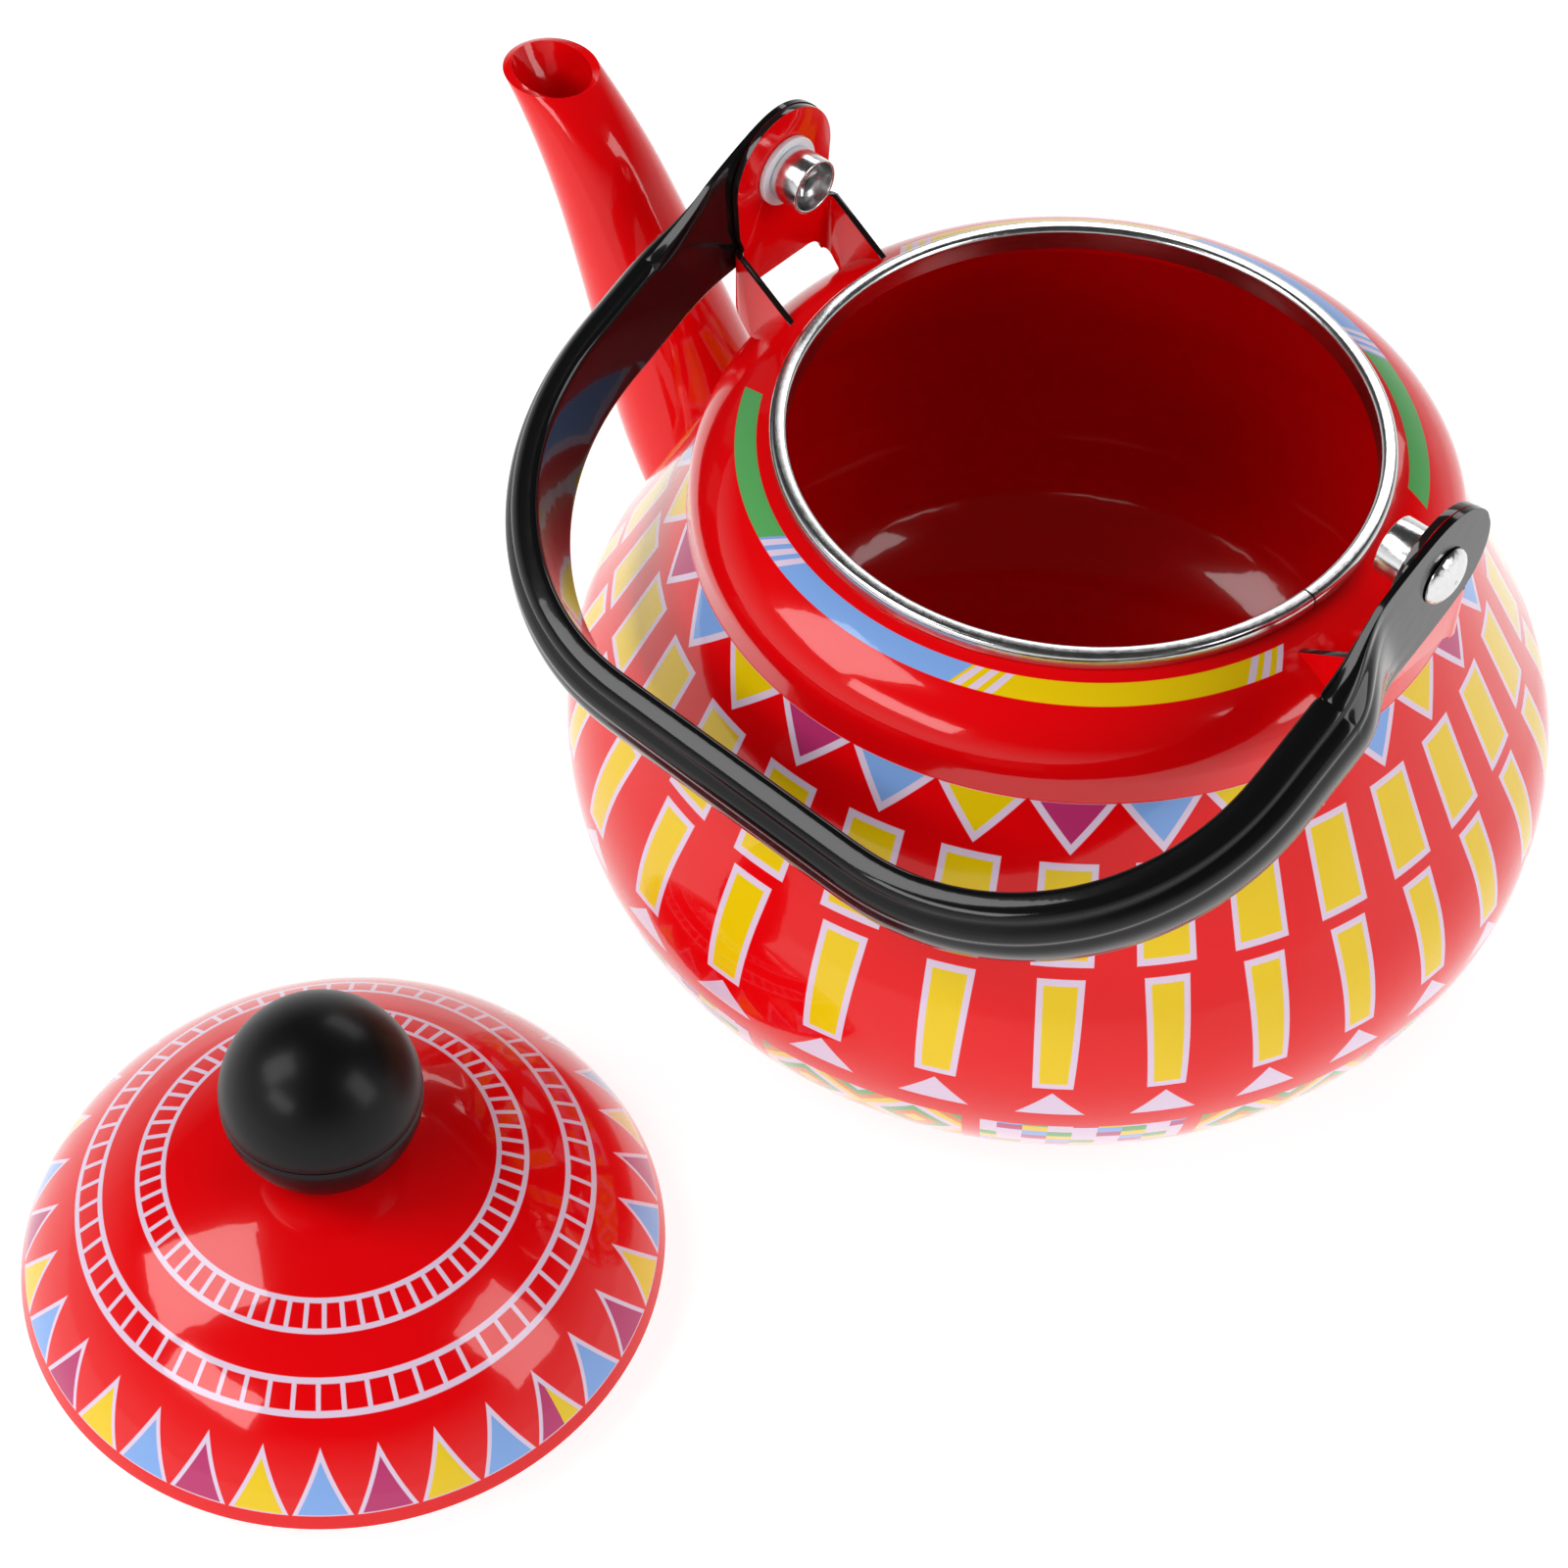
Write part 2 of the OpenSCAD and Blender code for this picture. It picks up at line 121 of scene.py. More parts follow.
def turned(name, outline, steps=180, at=(0, 0)):
    """A sheet-metal or moulded piece turned about the vertical line at `at` from its closed outline."""
    closed = list(outline) + [outline[0]]
    piece = line_of_points(name, [(at[0] + r, at[1], z) for r, z in closed])
    bpy.ops.object.mode_set(mode="EDIT")
    bpy.ops.mesh.select_all(action="SELECT")
    bpy.ops.mesh.remove_doubles(threshold=1e-6)
    bpy.ops.mesh.spin(steps=steps, angle=2 * math.pi, dupli=False,
                      center=(at[0] * MM, at[1] * MM, 0), axis=(0, 0, 1))
    bpy.ops.mesh.select_all(action="SELECT")
    bpy.ops.mesh.remove_doubles(threshold=1e-6)
    bpy.ops.mesh.normals_make_consistent(inside=False)
    bpy.ops.object.mode_set(mode="OBJECT")
    bpy.ops.object.shade_smooth_by_angle(angle=math.radians(38))
    return piece


def bow(cx, cz, rx, rz, start, end, n):
    """Points of an elliptical arc in a section, angles in degrees."""
    angles = [math.radians(start + (end - start) * i / n) for i in range(n + 1)]
    return [(cx + rx * math.cos(a), cz + rz * math.sin(a)) for a in angles]


class Sums:
    """Short way to write arithmetic between sockets of one material."""

    def __init__(self, tree):
        self.tree = tree

    def __call__(self, kind, *values, clamp=False):
        node = self.tree.nodes.new("ShaderNodeMath")
        node.operation = kind
        node.use_clamp = clamp
        for socket, value in zip(node.inputs, values):
            if isinstance(value, (int, float)):
                socket.default_value = value
            else:
                self.tree.links.new(value, socket)
        return node.outputs[0]

    def total(self, first, *rest):
        for value in rest:
            first = self("ADD", first, value)
        return first

    def product(self, first, *rest):
        for value in rest:
            first = self("MULTIPLY", first, value)
        return first

    def least(self, first, *rest):
        for value in rest:
            first = self("MINIMUM", first, value)
        return first

    def inked(self, depth, line=0.0):
        """1 where depth (mm) is more than line, with a soft edge."""
        return self("MULTIPLY_ADD", depth, 6.0, 0.5 - 6.0 * line, clamp=True)

    def between(self, value, low, high):
        return self.least(self("SUBTRACT", value, low), self("SUBTRACT", high, value))

    def is_near(self, value, target):
        return self("COMPARE", value, target, 0.4)

    def paint(self, under, colour, where):
        mix = self.tree.nodes.new("ShaderNodeMix")
        mix.data_type = "RGBA"
        for socket, value in ((mix.inputs[6], under), (mix.inputs[7], colour), (mix.inputs[0], where)):
            if isinstance(value, tuple):
                socket.default_value = value
            elif isinstance(value, (int, float)):
                socket.default_value = value
            else:
                self.tree.links.new(value, socket)
        return mix.outputs[2]


RED = (0.80, 0.0010, 0.0030, 1)
WHITE = (0.76, 0.60, 0.76, 1)
YELLOW = (0.85, 0.58, 0.003, 1)
BLUE = (0.22, 0.40, 0.80, 1)
MAGENTA = (0.50, 0.030, 0.150, 1)
GREEN = (0.105, 0.40, 0.115, 1)
ORANGE = (0.75, 0.2, 0.02, 1)


def enamel(name, base=RED, centre=(0, 0)):
    """Vitreous enamel: colour under a clear glassy coat that flowed a little before it set.
    Gives back the material, its sums, and the piece's own x, y, z and radius in millimetres."""
    material = bpy.data.materials.new(name)
    material.use_nodes = True
    tree = material.node_tree
    shader = tree.nodes["Principled BSDF"]
    shader.inputs["Base Color"].default_value = base
    shader.inputs["Roughness"].default_value = 0.16
    shader.inputs["IOR"].default_value = 1.5
    shader.inputs["Specular IOR Level"].default_value = 0.12
    shader.inputs["Coat Weight"].default_value = 0.8
    shader.inputs["Coat IOR"].default_value = 1.4
    shader.inputs["Coat Roughness"].default_value = 0.04
    sums = Sums(tree)
    place = tree.nodes.new("ShaderNodeTexCoord")
    flow = tree.nodes.new("ShaderNodeTexNoise")
    flow.inputs["Scale"].default_value = 70
    flow.inputs["Detail"].default_value = 2
    speck = tree.nodes.new("ShaderNodeTexNoise")
    speck.inputs["Scale"].default_value = 420
    speck.inputs["Detail"].default_value = 1
    tree.links.new(place.outputs["Object"], flow.inputs["Vector"])
    tree.links.new(place.outputs["Object"], speck.inputs["Vector"])
    ripple = sums("MULTIPLY_ADD", speck.outputs["Fac"], 0.12, flow.outputs["Fac"])
    bump = tree.nodes.new("ShaderNodeBump")
    bump.inputs["Strength"].default_value = 0.16
    bump.inputs["Distance"].default_value = 0.0006
    tree.links.new(ripple, bump.inputs["Height"])
    tree.links.new(bump.outputs["Normal"], shader.inputs["Normal"])
    tree.links.new(bump.outputs["Normal"], shader.inputs["Coat Normal"])
    axes = tree.nodes.new("ShaderNodeSeparateXYZ")
    tree.links.new(place.outputs["Object"], axes.inputs[0])
    x = sums("MULTIPLY_ADD", axes.outputs["X"], 1000.0, -float(centre[0]))
    y = sums("MULTIPLY_ADD", axes.outputs["Y"], 1000.0, -float(centre[1]))
    z = sums("MULTIPLY", axes.outputs["Z"], 1000.0)
    r = sums("SQRT", sums.total(sums("MULTIPLY", x, x), sums("MULTIPLY", y, y)))
    turn = sums("MULTIPLY", sums("ARCTAN2", y, x), 180 / math.pi)
    return material, sums, (x, y, z, r, turn)


def finish_colour(material, colour):
    shader = material.node_tree.nodes["Principled BSDF"]
    material.node_tree.links.new(colour, shader.inputs["Base Color"])


def dress(piece, material, body, slot, *nodes):
    """One finish all over, the body it moves with, and the plain solids it stands for; the slot argument is
    not used.
    """
    piece.data.materials.clear()
    piece.data.materials.append(material)
    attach(piece, body)
    if nodes:
        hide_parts(*nodes)


WALL = 1.4
CREASE = (82.5, 112.5)


def belly_curve(depth):
    lower = bow(60, 48.7, 50.25 - depth, 48.7 - depth, -90, 0, 26)
    upper = bow(60, 48.7, 50.25 - depth, 50.2 - depth, 2, 28, 10)
    top = CREASE[0] - depth * 1.139
    return lower + upper + [(top, CREASE[1])]


belly_material, b, (_, _, bz, br, bturn) = enamel("printed_enamel_belly")
# Thirty columns go round, in two transfers that were stretched a little as they were laid.
wave = b("COSINE", b("MULTIPLY", b("SUBTRACT", bturn, 52.0), 2 * math.pi / 180))
column = b("DIVIDE", b("MULTIPLY_ADD", wave, 2.8, b("SUBTRACT", bturn, 77.1 + 2.3)), 12.0)
number = b("ROUND", column)
aside = b("ABSOLUTE", b("SUBTRACT", column, number))
pitch = b("MULTIPLY", br, 0.218)
hue = b("FLOORED_MODULO", number, 3.0)


def stave(low, high, low_half, high_half, lean):
    """Depth in mm inside a four-sided mark between two heights; halves are in parts of a column."""
    rise = b("DIVIDE", b("SUBTRACT", bz, low), high - low)
    half = b("MULTIPLY_ADD", rise, high_half - low_half, low_half)
    side = b.product(b("SUBTRACT", half, aside), pitch, lean)
    return side, b.between(bz, low, high)


EDGE = 1.35
colour = RED
flag_side, flag_ends = stave(102.6, 112.3, 0.0, 0.475, 0.78)
flag_in = b.least(flag_side, flag_ends)
flag_fill = b.least(b("SUBTRACT", flag_side, EDGE + 0.1), b("SUBTRACT", flag_ends, 0.05))
flag_hue = b.paint(b.paint(YELLOW, MAGENTA, b.is_near(hue, 1.0)), BLUE, b.is_near(hue, 2.0))
colour = b.paint(colour, WHITE, b.inked(flag_in))
colour = b.paint(colour, flag_hue, b.inked(flag_fill))
for low, high, low_half, high_half in ((81.2, 101.0, 0.295, 0.305), (53.8, 78.8, 0.175, 0.222)):
    side, ends = stave(low, high, low_half, high_half, 1.0)
    inside = b.least(side, ends)
    colour = b.paint(colour, WHITE, b.inked(inside))
    colour = b.paint(colour, YELLOW, b.inked(inside, EDGE))
arrow = b.least(*stave(45.0, 52.4, 0.30, 0.0, 0.75))
colour = b.paint(colour, WHITE, b.inked(arrow))
# Low down, panels of small squares alternate with panels of nested diamonds.
panel = b("DIVIDE", b("ADD", column, 0.67), 2.0)
panel_x = b("SUBTRACT", b("FRACT", panel), 0.5)
panel_half = b("MULTIPLY", b("SUBTRACT", 0.46, b("ABSOLUTE", panel_x)), 44.0)
panel_in = b.least(panel_half, b.between(bz, 24.0, 39.6))
odd = b("FLOORED_MODULO", b("FLOOR", panel), 2.0)
cell_x = b("FLOOR", b("MULTIPLY", column, 4.5))
cell_z = b("FLOOR", b("DIVIDE", bz, 2.6))
cell_hue = b("FLOORED_MODULO", b.total(b("MULTIPLY", cell_x, 3.0), b("MULTIPLY", cell_z, 5.0)), 7.0)
square = WHITE
for n, tint in enumerate((GREEN, YELLOW, BLUE, MAGENTA)):
    square = b.paint(square, tint, b.is_near(cell_hue, n * 2.0))
diamond_x = b("ABSOLUTE", b("SUBTRACT", b("FRACT", b("MULTIPLY", panel_x, 2.0)), 0.5))
diamond = b("ADD", b("MULTIPLY", diamond_x, 22.0), b("ABSOLUTE", b("SUBTRACT", bz, 32.0)))
ring_no = b("FLOOR", b("DIVIDE", diamond, 2.4))
nest = b("FLOORED_MODULO", ring_no, 4.0)
lozenge = WHITE
for n, tint in enumerate((YELLOW, ORANGE, GREEN)):
    lozenge = b.paint(lozenge, tint, b.is_near(nest, float(n)))
mosaic = b.paint(square, lozenge, odd)
colour = b.paint(colour, mosaic, b.inked(panel_in))
finish_colour(belly_material, colour)

plain_red = enamel("red_enamel_plain")[0]


def plain_inside(piece, material, centre):
    """The side that faces the centre (mm) carries no print."""
    piece.data.materials.append(material)
    for face in piece.data.polygons:
        if face.normal.dot(face.center - Vector(centre) * MM) < 0:
            face.material_index = 1


belly = turned("belly", [(0, 0)] + belly_curve(0) + belly_curve(WALL)[::-1] + [(0, WALL)])
bpy.ops.mesh.primitive_cylinder_add(vertices=64, radius=12.5 * MM, depth=40 * MM,
                                    location=(0.110, 0, 0.062), rotation=(0, math.pi / 2, 0))
punch = bpy.context.active_object
cut = belly.modifiers.new("passage", "BOOLEAN")
cut.object = punch
cut.solver = "EXACT"
bpy.context.view_layer.objects.active = belly
bpy.ops.object.modifier_apply(modifier="passage")
bpy.data.objects.remove(punch)
dress(belly, belly_material, "kettle", "red_enamel", "belly_shell")
plain_inside(belly, plain_red, (0, 0, 48))

# ---------------------------------------------------------------- shoulder
# Pressed shoulder with a rounded dome, welded on the belly at the crease; a printed stripe of three
# colours lies close to the mouth on each side, its colours parted by slanted bars.
shoulder_material, s, (_, _, sz, sr, sturn) = enamel("printed_enamel_shoulder")
half_turn = s("FLOORED_MODULO", sturn, 180.0)
stripe = s.least(s.between(sr, 67.84, 72.35), s("SUBTRACT", sz, 122.0))
slant = s("MULTIPLY_ADD", s("SUBTRACT", sr, 70.1), 0.62, half_turn)
around = s("MULTIPLY", sr, math.pi / 180)
stripe_colour = RED
for tint, start, end in ((GREEN, 30.5, 66.4), (BLUE, 66.4, 110.3), (YELLOW, 110.3, 164.6)):
    stripe_colour = s.paint(stripe_colour, tint, s.inked(s.product(s.between(slant, start, end), around)))
for start in (67.0, 110.9, 158.2):
    step = s("DIVIDE", s("SUBTRACT", slant, start), 2.6)
    bar = s("LESS_THAN", s("FRACT", step), 0.55)
    group = s("MULTIPLY", bar, s("GREATER_THAN", s.between(step, 0.0, 2.9), 0.0))
    stripe_colour = s.paint(stripe_colour, WHITE, group)
printed = s.least(stripe, s("MULTIPLY", s.between(slant, 30.5, 164.6), 1.2))
finish_colour(shoulder_material, s.paint(RED, stripe_colour, s.inked(printed)))


def shoulder_curve(depth, inner):
    end = math.degrees(math.acos((inner - 55) / (27.15 - depth)))
    return [(CREASE[0] - depth, CREASE[1])] + bow(55, 116.8, 27.15 - depth, 16.8 - depth, 0, end, 26)


shoulder = turned("shoulder", shoulder_curve(0, 64.2) + [(64.2, 134.9), (62.8, 134.9)]
                  + shoulder_curve(WALL, 62.8)[::-1])
dress(shoulder, shoulder_material, "kettle", "red_enamel", "shoulder_shell")
plain_inside(shoulder, plain_red, (0, 0, 90))


# ---------------------------------------------------------------- mouth ring
# Stainless strip folded over the raw edge of the neck and polished; its two ends meet in a butt seam.
def steel(name, tone, roughness, grain=(1, 1, 1), depth=0.05, scale=300):
    """Bare metal with fine polishing marks along one direction."""
    material = bpy.data.materials.new(name)
    material.use_nodes = True
    tree = material.node_tree
    shader = tree.nodes["Principled BSDF"]
    shader.inputs["Metallic"].default_value = 1
    place = tree.nodes.new("ShaderNodeTexCoord")
    stretch = tree.nodes.new("ShaderNodeMapping")
    stretch.inputs["Scale"].default_value = grain
    marks = tree.nodes.new("ShaderNodeTexNoise")
    marks.inputs["Scale"].default_value = scale
    marks.inputs["Detail"].default_value = 4
    tree.links.new(place.outputs["Object"], stretch.inputs["Vector"])
    tree.links.new(stretch.outputs["Vector"], marks.inputs["Vector"])
    sums = Sums(tree)
    worn = sums("MULTIPLY_ADD", marks.outputs["Fac"], roughness, roughness * 0.5)
    tree.links.new(worn, shader.inputs["Roughness"])
    light = (tone, tone, tone * 1.01, 1)
    dark = (tone * 0.8, tone * 0.8, tone * 0.8, 1)
    tree.links.new(sums.paint(dark, light, marks.outputs["Fac"]), shader.inputs["Base Color"])
    bump = tree.nodes.new("ShaderNodeBump")
    bump.inputs["Strength"].default_value = depth
    bump.inputs["Distance"].default_value = 0.0003
    tree.links.new(marks.outputs["Fac"], bump.inputs["Height"])
    tree.links.new(bump.outputs["Normal"], shader.inputs["Normal"])
    return material


ring_section = ([(64.25, 132.7), (65.2, 132.7), (65.25, 134.2)] + bow(63.95, 134.75, 1.25, 1.25, 5, 90, 8)
                + bow(62.75, 134.75, 1.25, 1.25, 90, 180, 8)
                + [(61.5, 130.6), (62.7, 130.6), (62.75, 134.95), (64.25, 134.95)])
mouth_ring = turned("mouth_ring", ring_section, steps=240)
ring_material = steel("polished_strip", 0.72, 0.2, grain=(1, 1, 6), scale=500)
strip = ring_material.node_tree
strip_sums = Sums(strip)
strip_at = strip.nodes.new("ShaderNodeTexCoord")
strip_axes = strip.nodes.new("ShaderNodeSeparateXYZ")
strip.links.new(strip_at.outputs["Object"], strip_axes.inputs[0])
strip_turn = strip_sums("MULTIPLY", strip_sums("ARCTAN2", strip_axes.outputs["Y"], strip_axes.outputs["X"]),
                        180 / math.pi)
strip_paint = strip.nodes["Principled BSDF"].inputs["Base Color"].links[0].from_socket
SEAM_AT, SEAM_HALF = 175.0, 0.22
seam = strip_sums("LESS_THAN", strip_sums("ABSOLUTE", strip_sums("SUBTRACT", strip_turn, SEAM_AT)), SEAM_HALF)
finish_colour(ring_material, strip_sums.paint(strip_paint, (0.05, 0.05, 0.05, 1), seam))
dress(mouth_ring, ring_material, "kettle", "ring_steel", "mouth_ring")


# ---------------------------------------------------------------- spout
# Tapered tube rolled from sheet and bent, welded on the belly and cut level at its mouth, enamelled red.
def quad(a, b_, c, t):
    return [p * (1 - t) ** 2 + q * 2 * t * (1 - t) + r_ * t * t for p, q, r_ in zip(a, b_, c)]


TIP_X, TIP_Z, TIP_A, TIP_B, LIP_FROM = 157.3, 142.7, 11.45, 10.5, 140.5
SPINE = ((98, 36), (145.6, 140.7), (TIP_X, TIP_Z))
GIRTH = ((22.3,), (10.1,), (TIP_B,))


def tube_ring(t):
    """Kettle-side point, far-side point and half width of the tube part-way along its curve."""
    c = quad(*SPINE, t)
    d = [(q - p) * (1 - t) + (r_ - q) * t for p, q, r_ in zip(*SPINE)]
    long = math.hypot(*d)
    d = [v / long for v in d]
    g = quad(*GIRTH, t)[0]
    return (c[0] - d[1] * g, c[1] + d[0] * g), (c[0] + d[1] * g, c[1] - d[0] * g), g


near_mid, far_mid, half_mid = tube_ring(0.5)
far_root = tube_ring(0.2)[1]
tube = []
for i in range(5):
    t = i * 0.04
    near, far, half = tube_ring(t)
    tube.append((near, quad((103, 36), (124.5, 51), far_root, t / 0.2), half))
tube += [tube_ring(0.2 + 0.05 * i) for i in range(6)]
for i in range(11):
    t = i / 10
    tube.append((quad(near_mid, (132.3, 134.5), (TIP_X - TIP_A, TIP_Z), t),
                 quad(far_mid, (157, 126.5), (TIP_X + TIP_A, TIP_Z), t),
                 quad((half_mid,), (11.2,), (TIP_B,), t)[0]))
rings = []
for near, far, half in tube:
    bpy.ops.object.select_all(action="DESELECT")
    middle = Vector(((near[0] + far[0]) / 2, 0, (near[1] + far[1]) / 2)) * MM
    tilt = math.atan2(far[1] - near[1], far[0] - near[0])
    bpy.ops.mesh.primitive_circle_add(vertices=64, radius=1, location=middle, rotation=(0, -tilt, 0))
    bpy.context.active_object.scale = (math.dist(near, far) / 2 * MM, half * MM, 1)
    bpy.ops.object.transform_apply(location=True, rotation=True, scale=True)
    rings.append(bpy.context.active_object)
bpy.ops.object.select_all(action="DESELECT")
for ring in rings:
    ring.select_set(True)
spout = rings[0]
bpy.context.view_layer.objects.active = spout
bpy.ops.object.join()
spout.name = spout.data.name = "spout_tube"
bpy.ops.object.mode_set(mode="EDIT")
for i in range(len(rings) - 1):
    bpy.ops.mesh.select_all(action="DESELECT")
    bpy.ops.object.mode_set(mode="OBJECT")
    for v in spout.data.vertices[i * 64:(i + 2) * 64]:
        v.select = True
    bpy.ops.object.mode_set(mode="EDIT")
    bpy.ops.mesh.select_mode(type="VERT")
    bpy.ops.mesh.bridge_edge_loops()
bpy.ops.mesh.select_all(action="SELECT")
bpy.ops.mesh.normals_make_consistent(inside=False)
bpy.ops.object.mode_set(mode="OBJECT")
skin = spout.modifiers.new("wall", "SOLIDIFY")
skin.thickness = 1.4 * MM
skin.offset = -1
bpy.context.view_layer.objects.active = spout
bpy.ops.object.modifier_apply(modifier="wall")
plug = turned("plug", [(0, 1)] + belly_curve(0.7) + [(0, 112.5)])
cut = spout.modifiers.new("root", "BOOLEAN")
cut.object = plug
cut.solver = "EXACT"
bpy.context.view_layer.objects.active = spout
bpy.ops.object.modifier_apply(modifier="root")
bpy.data.objects.remove(plug)
bpy.ops.object.mode_set(mode="EDIT")
bpy.ops.mesh.select_mode(type="VERT")
bpy.ops.mesh.select_all(action="DESELECT")
bpy.ops.object.mode_set(mode="OBJECT")
for v in spout.data.vertices:
    aside_x, aside_y = v.co.x / MM - TIP_X, v.co.y / MM
    v.select = v.co.z > LIP_FROM * MM and math.hypot(aside_x / TIP_A, aside_y / TIP_B) < 0.94
bpy.ops.object.mode_set(mode="EDIT")
bpy.ops.transform.resize(value=(0.93, 0.93, 1), center_override=(TIP_X * MM, 0, TIP_Z * MM))
bpy.ops.object.mode_set(mode="OBJECT")
lip = spout.modifiers.new("lip", "BEVEL")
lip.width = 0.8 * MM
lip.segments = 4
lip.angle_limit = math.radians(55)
bpy.ops.object.modifier_apply(modifier="lip")
bpy.ops.object.select_all(action="DESELECT")
spout.select_set(True)
bpy.ops.object.shade_smooth_by_angle(angle=math.radians(38))
dress(spout, plain_red, "kettle", "red_enamel", "spout")


# ---------------------------------------------------------------- brackets
# Each bracket is one strip bent to a round-topped plate and two wings, welded on the shoulder beside the
# ring; the enamel is thin on its cut edges, where they show black.
def softened(node, name, width, finish_angle=35):
    """A copy of a CAD solid with its triangles merged into faces and its sharp edges eased."""
    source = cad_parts[node]
    piece = bpy.data.objects.new(name, source.data.copy())
    bpy.context.scene.collection.objects.link(piece)
    bpy.ops.object.select_all(action="DESELECT")
    piece.select_set(True)
    bpy.context.view_layer.objects.active = piece
    bpy.ops.object.mode_set(mode="EDIT")
    bpy.ops.mesh.select_all(action="SELECT")
    bpy.ops.mesh.remove_doubles(threshold=2e-6)
    bpy.ops.mesh.dissolve_limited(angle_limit=math.radians(1))
    bpy.ops.object.mode_set(mode="OBJECT")
    ease = piece.modifiers.new("ease", "BEVEL")
    ease.width = width * MM
    ease.segments = 3
    ease.angle_limit = math.radians(40)
    ease.use_clamp_overlap = True
    bpy.ops.object.modifier_apply(modifier="ease")
    bpy.ops.object.shade_smooth_by_angle(angle=math.radians(finish_angle))
    return piece


black_edge = enamel("burnt_edge", (0.012, 0.008, 0.008, 1))[0]
for end in ("front", "rear"):
    bracket = softened(end + "_bracket", end + "_bracket_strip", 0.35)
    dress(bracket, plain_red, "kettle", "red_enamel", end + "_bracket")
    bracket.data.materials.append(black_edge)
    for face in bracket.data.polygons:
        up = abs(face.normal.z)
        rim = abs(face.normal.y) > 0.85 and face.center.z > 0.1415
        if (up > 0.3 and face.area > 2e-7) or rim:
            face.material_index = 1

# ---------------------------------------------------------------- pivots
# At each bracket a domed rivet holds the bail's end; its tail is spread in a bright steel cup on a
# milky nylon washer.
nylon = bpy.data.materials.new("milky_nylon")
nylon.use_nodes = True
soft = nylon.node_tree.nodes["Principled BSDF"]
soft.inputs["Base Color"].default_value = (0.82, 0.80, 0.84, 1)
soft.inputs["Roughness"].default_value = 0.35
soft.inputs["Subsurface Weight"].default_value = 0.35
soft.inputs["Subsurface Scale"].default_value = 0.002
nylon_sums = Sums(nylon.node_tree)
cloud = nylon.node_tree.nodes.new("ShaderNodeTexNoise")
cloud.inputs["Scale"].default_value = 160
cloud_at = nylon.node_tree.nodes.new("ShaderNodeTexCoord")
nylon.node_tree.links.new(cloud_at.outputs["Object"], cloud.inputs["Vector"])
milk = nylon_sums.paint((0.74, 0.72, 0.78, 1), (0.88, 0.86, 0.90, 1), cloud.outputs["Fac"])
nylon.node_tree.links.new(milk, soft.inputs["Base Color"])
bright = steel("bright_nickel", 0.80, 0.20, depth=0.08, scale=900)
for end in ("front", "rear"):
    washer = softened(end + "_washer", end + "_nylon_washer", 0.3)
    dress(washer, nylon, "kettle", "washer_nylon", end + "_washer")
    cup = softened(end + "_cup", end + "_steel_cup", 0.25)
    dress(cup, bright, "kettle", "pivot_steel", end + "_cup")
    rivet = softened(end + "_rivet", end + "_domed_rivet", 0.25)
    dress(rivet, bright, "kettle", "pivot_steel", end + "_rivet")

# ---------------------------------------------------------------- bail
# One tube bent round and pressed flat on its inner side, with two shallow flutes run along each flank and
# its ends flattened and rounded for the rivets; glossy black enamel all over.
FOLD = math.radians(115)
PIVOT_Z = 155.1
ARM, GRIP, CORNER, BLEND, FLAT_TO = 87.1, 109.5, 54.5, 36, 15
corner_x, corner_h = ARM - CORNER, GRIP - CORNER
END_R, SHEET = 14.8, 1.3
TUBE_HALF, WEB_HALF = 11.3, 10.4
half_tube = [(-WEB_HALF, 0.05), (-11.1, 0.6), (-11.25, 1.5), (-11.2, 3.0), (-10.9, 4.6), (-10.1, 5.9),
             (-9.3, 6.3), (-8.7, 5.8), (-8.1, 5.9), (-7.4, 7.2), (-6.4, 8.6), (-5.2, 9.1), (-4.4, 8.9),
             (-3.6, 9.4), (-2.2, 10.0)]
web = [(-9.4, 0.0), (-6.0, 0.0), (-2.0, 0.0)]
tube = half_tube + [(0.0, 10.15)] + [(-w, d) for w, d in half_tube[::-1]]
tube += [(-w, d) for w, d in web] + web[::-1] + [tube[0]]
flat = []
for w, d in tube:
    side = max(-1.0, min(1.0, w / WEB_HALF))
    flat.append((side, SHEET if d > 2 else 0.0))


def bail_level(h, share, half):
    """Section of an arm h above the pivot; share is 0 in the flattened end and 1 on the full tube."""
    return [(ARM + d * share + flat_d * (1 - share), w * share + side * half * (1 - share), h)
            for (w, d), (side, flat_d) in zip(tube, flat)]


levels = []
for i in range(9):
    q = 1 - i / 8
    height, share = FLAT_TO + (BLEND - FLAT_TO) * q, q * q * (3 - 2 * q)
    levels.append(bail_level(height, share, END_R + (TUBE_HALF - END_R) * q))
for a in (0, 25, 42, 56, 68, 78, 86):
    turn = math.radians(a)
    levels.append(bail_level(-END_R * math.sin(turn), 0, END_R * math.cos(turn)))
bail = line_of_points("bail_tube", [(0, w, GRIP + d) for w, d in tube])
bpy.ops.object.mode_set(mode="EDIT")
bpy.ops.mesh.select_all(action="SELECT")
bpy.ops.mesh.remove_doubles(threshold=1e-6)
for i in range(6):
    bpy.ops.mesh.extrude_region_move(TRANSFORM_OT_translate={"value": (corner_x / 6 * MM, 0, 0)})
bpy.ops.mesh.spin(steps=18, angle=-math.pi / 2, dupli=False,
                  center=(corner_x * MM, 0, corner_h * MM), axis=(0, 1, 0))
for i in range(5):
    bpy.ops.mesh.extrude_region_move(TRANSFORM_OT_translate={"value": (0, 0, -(corner_h - BLEND) / 5 * MM)})
for level in levels:
    bpy.ops.mesh.extrude_region_move(TRANSFORM_OT_translate={"value": (0, 0, -0.1 * MM)})
    bpy.ops.object.mode_set(mode="OBJECT")
    for v, place in zip([v for v in bail.data.vertices if v.select], level):
        v.co = Vector(place) * MM
    bpy.ops.object.mode_set(mode="EDIT")
bpy.ops.mesh.edge_face_add()
bpy.ops.mesh.select_all(action="SELECT")
